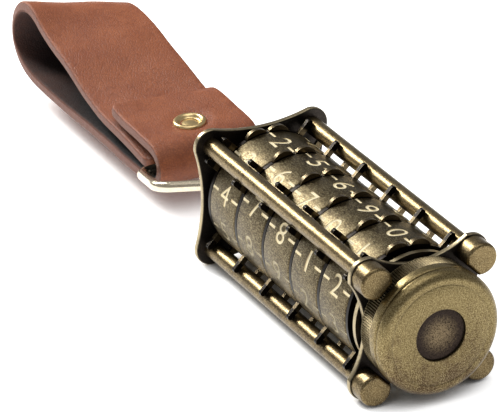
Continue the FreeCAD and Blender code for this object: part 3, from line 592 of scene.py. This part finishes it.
def cut(mesh, cutter, material_index):
    """The mesh with a bmesh cut out of it; the cut's faces take a material index."""
    for face in cutter.faces:
        face.material_index = material_index
    tool_mesh = bpy.data.meshes.new("cutter")
    cutter.to_mesh(tool_mesh)
    cutter.free()
    for each in (mesh, tool_mesh):
        while len(each.materials) < 2:
            each.materials.append(None)
    body = bpy.data.objects.new("to_cut", mesh)
    tool = bpy.data.objects.new("cutter", tool_mesh)
    for made in (body, tool):
        bpy.context.scene.collection.objects.link(made)
    modifier = body.modifiers.new("cut", "BOOLEAN")
    modifier.operation = "DIFFERENCE"
    modifier.solver = "EXACT"
    modifier.object = tool
    modifier.material_mode = "INDEX"
    bpy.context.view_layer.update()
    graph = bpy.context.evaluated_depsgraph_get()
    result = bpy.data.meshes.new_from_object(body.evaluated_get(graph))
    bpy.data.objects.remove(body)
    bpy.data.objects.remove(tool)
    bpy.data.meshes.remove(mesh)
    bpy.data.meshes.remove(tool_mesh)
    return result


def box_bmesh(low, high):
    shape = bmesh.new()
    bmesh.ops.create_cube(shape, size=1)
    for point in shape.verts:
        for axis in range(3):
            point.co[axis] = (low[axis] + high[axis]) / 2 + point.co[axis] * (high[axis] - low[axis])
    return shape


def add_dial(number, metal, paint_fill):
    """One dial ring: rounded edges, engraved digits and dashes, the gate and the inner recess."""
    half, recess = RING_WIDTH / 2, RECESS_WIDTH / 2
    profile = rounded_profile(
        [
            (-half, RING_BORE, 0),
            (-half, RING_RADIUS, RING_ROUND),
            (half, RING_RADIUS, RING_ROUND),
            (half, RING_BORE, 0),
            (recess, RING_BORE, 0),
            (recess, RECESS_RADIUS, 0),
            (-recess, RECESS_RADIUS, 0),
            (-recess, RING_BORE, 0),
        ],
        steps=4,
    )
    middle = FIRST_RING + half + RING_PITCH * (number - 1)
    name = f"dial_ring_{number}"
    mesh = lathe_mesh(name, profile, RING_SEGMENTS, lambda a, b, c: Vector((a, b, c)), closed=True)
    top_digit, top_angle = TOP_DIGITS[number - 1]
    gate = box_bmesh((-half - 1, -GATE_WIDTH / 2, -GATE_DEPTH), (half + 1, GATE_WIDTH / 2, 0))
    mesh = cut(mesh, gate, 0)
    mesh = cut(mesh, dial_cutter(top_digit, top_angle), 1)
    for point in mesh.vertices:
        point.co = place(middle + point.co.x, point.co.y, point.co.z)
    ring = make_object(f"look_dial_ring_{number}", mesh, [metal, paint_fill])
    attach(ring, f"dial_{number}")
    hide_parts(f"dial_ring_{number}")
    return ring


# ---------------------------------------------------------------- end cap

CAP_SEGMENTS = 600
KNURLS, KNURL_DEEP = 150, 0.28
KNURL_RADIUS, KNURL_START, KNURL_END, KNURL_RUN_OUT = 13.4, 69.0, 72.9, 0.35


def knurled(along, radius, angle):
    """Straight ridges round the collar, fading out at its free end."""
    if abs(radius - KNURL_RADIUS) > 0.01:
        return radius
    fade = min(1.0, (along - KNURL_START) / KNURL_RUN_OUT)
    valley = 0.5 - 0.5 * math.cos(KNURLS * angle)
    return radius - KNURL_DEEP * fade * valley


def add_cap(metal, collar_metal):
    """The pull: knurled collar, rim, groove, rounded shoulder, face and round recess."""
    profile = rounded_profile(
        [
            (59.6, 0.0, 0),
            (59.6, 5.87, 0.3),
            (74.5, 5.87, 0),
            (74.5, 10.9, 0),
            (69.0, 10.9, 0),
            (KNURL_START, KNURL_RADIUS, 0),
            (KNURL_START + KNURL_RUN_OUT, KNURL_RADIUS, 0),
            (KNURL_END, KNURL_RADIUS, 0),
            (KNURL_END, 13.7, 0.28),
            (75.3, 13.7, 0.5),
            (75.3, 12.9, 0),
            (75.85, 12.9, 0),
            (75.85, 13.75, 0.1),
            (78.0, 13.75, 2.0),
            (78.0, 11.2, 0),
            (77.92, 11.05, 0),
            (78.0, 10.9, 0),
            (78.0, 5.65, 0.22),
            (76.9, 5.65, 0.1),
            (76.9, 0.0, 0),
        ],
        steps=6,
    )
    mesh = lathe_mesh("end_cap", profile, CAP_SEGMENTS, place, waves=knurled)
    rim_start = place(KNURL_END, 0, 0).x
    for face in mesh.polygons:
        face.material_index = 1 if face.center.x < rim_start else 0
    cap = make_object("look_end_cap", mesh, [metal, collar_metal], 40.0)
    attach(cap, "vault")
    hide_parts("end_cap")
    return cap


# ---------------------------------------------------------------- strap and rivet

STRAP_FROM = -27.0
STRAP_HALF, STRAP_THICK, STRAP_EDGE = 12.25, 2.6, 0.55
STRAP_ROWS, STRAP_ACROSS, EDGE_STEPS = 330, 26, 4
END_ROWS = (0.0, 0.04, 0.12, 0.24, 0.4)
END_ROUND = 0.3
PINCH_FLAP, PINCH_LAP, PINCH_REACH = 0.6, 0.35, 6.0
SWELL, SWELL_REACH, SWELL_WIDE = 0.3, 6.0, 1.5
WAVE, RIPPLE = 0.35, 0.05
FLAP_CORNER, LAP_CORNER = 1.2, 2.4
RIVET_SETBACK, RIVET_RADIUS = 7.85, 4.1

# matched points of the band's centre line as (distance behind STRAP_FROM, height):
# first along its near edge, at -Y, then along its far edge
STRAP_PATH = (
    ((23.2, 0.55), (20.0, 1.0)),
    ((17.9, -0.2), (17.2, 1.25)),
    ((12.8, -0.45), (12.3, 1.15)),
    ((7.6, -0.75), (7.4, 0.95)),
    ((3.4, -0.85), (3.4, 0.75)),
    ((0.9, -1.45), (0.6, 0.2)),
    ((-0.6, -2.9), (-1.0, -1.4)),
    ((-1.2, -4.8), (-1.6, -3.9)),
    ((-0.6, -6.8), (-1.0, -6.1)),
    ((1.0, -8.2), (0.7, -7.8)),
    ((4.2, -8.85), (4.2, -8.6)),
    ((12.0, -8.75), (11.5, -8.7)),
    ((23.6, -8.6), (22.0, -8.7)),
    ((36.0, -8.85), (33.0, -8.65)),
    ((50.0, -9.1), (46.0, -8.7)),
    ((60.0, -8.9), (55.5, -8.7)),
    ((66.5, -8.3), (61.5, -8.5)),
    ((71.9, -6.6), (65.8, -7.0)),
    ((75.1, -3.6), (68.0, -4.0)),
    ((75.9, -0.3), (68.3, -1.0)),
    ((74.8, 3.6), (67.2, 2.3)),
    ((71.7, 6.7), (64.8, 4.5)),
    ((67.6, 7.9), (61.5, 5.3)),
    ((63.7, 7.35), (57.6, 5.45)),
    ((60.2, 5.8), (53.8, 5.3)),
    ((54.9, 4.1), (49.5, 4.75)),
    ((49.5, 2.7), (44.8, 3.75)),
    ((45.0, 1.35), (40.8, 2.9)),
    ((39.0, -0.75), (35.6, 1.85)),
    ((33.9, -2.15), (30.8, 0.75)),
    ((28.6, -3.4), (26.3, -0.25)),
    ((23.3, -4.0), (21.8, -1.1)),
    ((16.5, -4.45), (15.8, -1.65)),
    ((10.5, -5.0), (10.5, -1.95)),
    ((4.5, -5.6), (4.5, -2.2)),
)


def spline_point(points, at):
    """A point of a Catmull-Rom spline through points, at 0 to 1 of its control points."""
    last = len(points) - 1
    spot = min(max(at, 0.0), 1.0) * last
    index = min(int(spot), last - 1)
    t = spot - index
    a = points[max(index - 1, 0)]
    b, c = points[index], points[index + 1]
    d = points[min(index + 2, last)]
    return 0.5 * (2 * b + (c - a) * t + (2 * a - 5 * b + 4 * c - d) * t * t + (3 * b - a - 3 * c + d) * t**3)


def smooth_step(amount, low, high):
    share = min(max((amount - low) / (high - low), 0.0), 1.0)
    return share * share * (3 - 2 * share)


def band_rows(near, far, count):
    """Rows across the band, evenly spaced and closer at both ends, as (near, far, distance along)."""
    fine = 4000
    spots = [step / fine for step in range(fine + 1)]
    edges = [(spline_point(near, spot), spline_point(far, spot)) for spot in spots]
    for _ in range(900):
        inner = [
            ((a[0] + 2 * b[0] + c[0]) / 4, (a[1] + 2 * b[1] + c[1]) / 4)
            for a, b, c in zip(edges, edges[1:], edges[2:])
        ]
        edges = [edges[0], *inner, edges[-1]]
    lengths = [0.0]
    for before, after in zip(edges, edges[1:]):
        lengths.append(lengths[-1] + ((after[0] + after[1]) - (before[0] + before[1])).length / 2)
    total = lengths[-1]
    spacing = total / (count - 1)
    middle_rows = [spacing * row for row in range(1, count - 1)]
    targets = [*END_ROWS, *middle_rows, *(total - u for u in reversed(END_ROWS))]
    rows, step = [], 0
    for target in targets:
        while step < fine - 1 and lengths[step + 1] < target:
            step += 1
        share = (target - lengths[step]) / (lengths[step + 1] - lengths[step])
        pair = [a.lerp(b, min(max(share, 0.0), 1.0)) for a, b in zip(edges[step], edges[step + 1])]
        rows.append((pair[0], pair[1], target))
    return rows, total


def strap_section():
    """Points (across, outwards) once round a rounded rectangle, starting on its outer side."""
    straight, thick = STRAP_HALF - STRAP_EDGE, STRAP_THICK / 2
    points = [(straight * (2 * step / STRAP_ACROSS - 1), thick) for step in range(STRAP_ACROSS)]
    for height, start in ((thick - STRAP_EDGE, 90), (STRAP_EDGE - thick, 0)):
        for step in range(EDGE_STEPS + (start == 90)):
            angle = math.radians(start - 90 * step / EDGE_STEPS)
            points.append((straight + STRAP_EDGE * math.cos(angle), height + STRAP_EDGE * math.sin(angle)))
    return points + [(-across, -outwards) for across, outwards in points]


def corner_trim(distance, radius):
    """How much narrower a row is, at a distance from an end with rounded corners."""
    if distance >= radius:
        return 0.0
    return radius - math.sqrt(radius**2 - (radius - distance) ** 2)


def add_strap(grain, shaded_flesh):
    """The leather band: flap, fold round the wire, lower run, far bend, upper run and lap."""
    near = [Vector(pair[0]) for pair in STRAP_PATH]
    far = [Vector(pair[1]) for pair in STRAP_PATH]
    rows, total = band_rows(near, far, STRAP_ROWS)
    section = strap_section()
    rivet = place(STRAP_FROM - RIVET_SETBACK, 0, 0) / MM
    shape = bmesh.new()
    rings = []
    for index, (near_end, far_end, along) in enumerate(rows):
        before, after = rows[max(index - 1, 0)], rows[min(index + 1, len(rows) - 1)]
        trim = corner_trim(along, FLAP_CORNER) + corner_trim(total - along, LAP_CORNER)
        inset = corner_trim(along, END_ROUND) + corner_trim(total - along, END_ROUND)
        on_flap = 1 - smooth_step(along, 17.5, 26.0)
        on_lap = smooth_step(total - along, 28.0, 20.0)
        ring = []
        for across, outwards in section:
            across *= (STRAP_HALF - trim - 0.5 * inset) / STRAP_HALF
            outwards *= (STRAP_THICK / 2 - inset) / (STRAP_THICK / 2)
            share = (across / STRAP_HALF + 1) / 2
            centre = near_end.lerp(far_end, share)
            ahead = after[0].lerp(after[1], share) - before[0].lerp(before[1], share)
            forwards = Vector((-ahead.x, 0, ahead.y))
            sideways = Vector((near_end.x - far_end.x, 2 * STRAP_HALF, far_end.y - near_end.y))
            normal = forwards.cross(sideways).normalized()
            spot = place(STRAP_FROM - centre.x, across, centre.y) / MM
            reach = math.hypot(spot.x - rivet.x, spot.y)
            lift = PINCH_LAP * on_lap * math.exp(-((reach / PINCH_REACH) ** 2))
            lift -= PINCH_FLAP * on_flap * math.exp(-((reach / PINCH_REACH) ** 2))
            if outwards > 0:
                rise = math.exp(-(((reach - SWELL_REACH) / SWELL_WIDE) ** 2))
                lift += SWELL * on_flap * rise * (0.6 + 0.4 * (spot.y - rivet.y) / max(reach, 0.1))
            lift += WAVE * noise.noise(Vector((along * 0.09, across * 0.11, 3.7)))
            side = 9.1 + math.copysign(2, outwards)
            lift += RIPPLE * noise.noise(Vector((along * 0.55, across * 0.35, side)))
            ring.append(shape.verts.new((spot + normal * (outwards + lift)) * MM))
        rings.append(ring)
    count = len(section)
    for low, high in zip(rings, rings[1:]):
        for index in range(count):
            after = (index + 1) % count
            face = shape.faces.new((low[index], low[after], high[after], high[index]))
            inner_side = section[index][1] < -STRAP_EDGE and section[after][1] < -STRAP_EDGE
            face.material_index = 1 if inner_side else 0
    shape.faces.new(rings[0])
    shape.faces.new(rings[-1])
    bmesh.ops.recalc_face_normals(shape, faces=shape.faces)
    mesh = bpy.data.meshes.new("strap")
    shape.to_mesh(mesh)
    shape.free()
    band = make_object("look_strap", mesh, [grain, shaded_flesh], 50.0)
    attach(band, "strap")
    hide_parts("strap")
    return band


RIVET_TILT = 4.5
CAP_BASE, FOOT_BASE = 0.45, -4.7
CAP_PROFILE = (
    (0.0, 0.0), (0.0, 3.55), (0.3, 3.76), (0.65, 3.8), (1.0, 3.7), (1.22, 3.48), (1.3, 3.15),
    (1.2, 2.8), (0.9, 2.5), (0.6, 2.3), (0.48, 2.05), (0.5, 1.8), (0.62, 1.4), (0.74, 0.8), (0.78, 0.0),
)
FOOT_PROFILE = (
    (0.0, 0.0), (0.0, 3.6), (0.2, 3.85), (0.5, 3.8), (0.75, 3.3), (0.9, 2.4), (0.98, 1.2), (1.0, 0.0),
)


def add_rivet_half(name, node, profile, height, sign, metal):
    """One half of the rivet, standing up from the leather or down from it, tilted with the flap."""
    base = place(STRAP_FROM - RIVET_SETBACK, 0, height)
    tilt = Matrix.Rotation(math.radians(RIVET_TILT), 3, "X")
    def to_world(along, across, onwards):
        return base + tilt @ Vector((across, onwards, sign * along)) * MM

    mesh = lathe_mesh(name, profile, 96, to_world)
    half = make_object(name, mesh, [metal], 60.0)
    half.modifiers.new("round", "SUBSURF").levels = 1
    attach(half, "strap")
    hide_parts(node)
    return half


# ---------------------------------------------------------------- the object

# The rods, heads and cap take painted light and shade by height, lighter higher up.
antique = aged_metal(
    "antique_brass", (0.54, 0.44, 0.24), (0.215, 0.155, 0.073), (0.085, 0.057, 0.028), 0.33, 1.1, painted_light_by_height=0.06
)
cap_metal = aged_metal(
    "cap_brass",
    (0.52, 0.425, 0.23),
    (0.225, 0.17, 0.075),
    (0.085, 0.053, 0.028),
    rough=0.35,
    grain=1.3,
    recess=0.3,
    painted_light_by_height=0.3,
)
collar_metal = aged_metal(
    "collar_brass", (0.40, 0.33, 0.19), (0.12, 0.09, 0.046), (0.05, 0.035, 0.019), 0.44, 1.2, recess=0.5
)
dial_metal = aged_metal(
    "ring_brass",
    (0.40, 0.345, 0.205),
    (0.13, 0.098, 0.052),
    (0.05, 0.035, 0.018),
    rough=0.4,
    grain=1.3,
    stretch=(0.5, 1, 1),
    wear=0.85,
    wear_mm=0.4,
)
plate_metal = blackened_plate("dark_brass", (0.025, 0.021, 0.018), (0.42, 0.345, 0.21), 0.3)
# The spacers' black colour is painted shade in the gap between dials, and on the forks partly finish and
# partly painted shade.
spacer_metal = spacer_look(
    "spacer_brass", (0.55, 0.46, 0.28), (0.17, 0.128, 0.072), (0.014, 0.011, 0.009), 0.36
)
inset_metal = dished_metal("dark_inset", (0.21, 0.155, 0.09), (0.035, 0.025, 0.02), 0.36)
inner_metal = aged_metal("inner_brass", (0.70, 0.60, 0.38), (0.48, 0.39, 0.21), (0.28, 0.22, 0.12), 0.3, 0.6)
spring_metal = polished_metal("spring_steel", (0.62, 0.61, 0.58), (0.42, 0.41, 0.39), 0.22)
wire_metal = polished_metal("pale_wire", (0.80, 0.70, 0.53), (0.60, 0.51, 0.36), 0.16)
rivet_metal = polished_metal("rivet_brass", (0.80, 0.60, 0.30), (0.5, 0.36, 0.17), 0.26)
# The second colour is painted shade for the digits low on each dial.
paint_fill = digit_paint("dial_paint", (0.95, 0.83, 0.56), (0.24, 0.2, 0.125))
cut_edge = (0.17, 0.062, 0.037)
grain_side = leather("strap_leather", (0.365, 0.112, 0.044), (0.265, 0.074, 0.031), cut_edge, 0.5, 0.35)
# The flesh side, inside the loop, is darkened nearly to black as painted shade.
shaded_flesh_side = leather("strap_flesh_shaded", (0.09, 0.033, 0.02), (0.05, 0.018, 0.012), cut_edge, 0.75, 1.0)

corner_parts = numbered("tie_rod", CORNERS) + numbered("post_screw", CORNERS) + numbered("rear_nut", CORNERS)
paint(corner_parts + ["hanger_eye", "hanger_nut", "cap_pin"], antique)
paint(["rear_plate", "front_plate", "rear_bush", "front_bush"], plate_metal)
paint(numbered("spacer_plate", SPACERS), spacer_metal)
paint(["core_tube", "tube_plug", "vault_tube", "lock_bar"], inner_metal)
paint(numbered("detent_ball", RINGS) + numbered("detent_spring", RINGS), spring_metal)
paint(["loop_ring"], wire_metal)
paint(["cap_inset"], inset_metal)

for number in range(1, RINGS + 1):
    add_dial(number, dial_metal, paint_fill)
add_cap(cap_metal, collar_metal)
strap = add_strap(grain_side, shaded_flesh_side)
rivet_parts = [
    add_rivet_half("look_rivet_cap", "rivet_cap", CAP_PROFILE, CAP_BASE, 1, rivet_metal),
    add_rivet_half("look_rivet_foot", "rivet_foot", FOOT_PROFILE, FOOT_BASE, -1, rivet_metal),
]

# ---------------------------------------------------------------- the setting

floor_mesh = bpy.data.meshes.new("floor")
floor_mesh.from_pydata([(-3, -3, 0), (3, -3, 0), (3, 3, 0), (-3, 3, 0)], [], [(0, 1, 2, 3)])
floor_mesh.materials.append(floor_white("floor_white"))
floor = bpy.data.objects.new("floor", floor_mesh)
bpy.context.scene.collection.objects.link(floor)

add_softbox("key", (-0.8, -0.27, 0.53), 0.7, (0.16, 0.3), 4.3, (1.0, 1.0, 0.97))
add_softbox("overhead", (0.1, -0.1, 1.0), 1.2, (1.0, 1.0), 5.0, (1.0, 1.0, 1.0))
add_world((1.0, 1.0, 1.0), 0.3)
add_camera()
bpy.context.scene.view_settings.view_transform = "Standard"
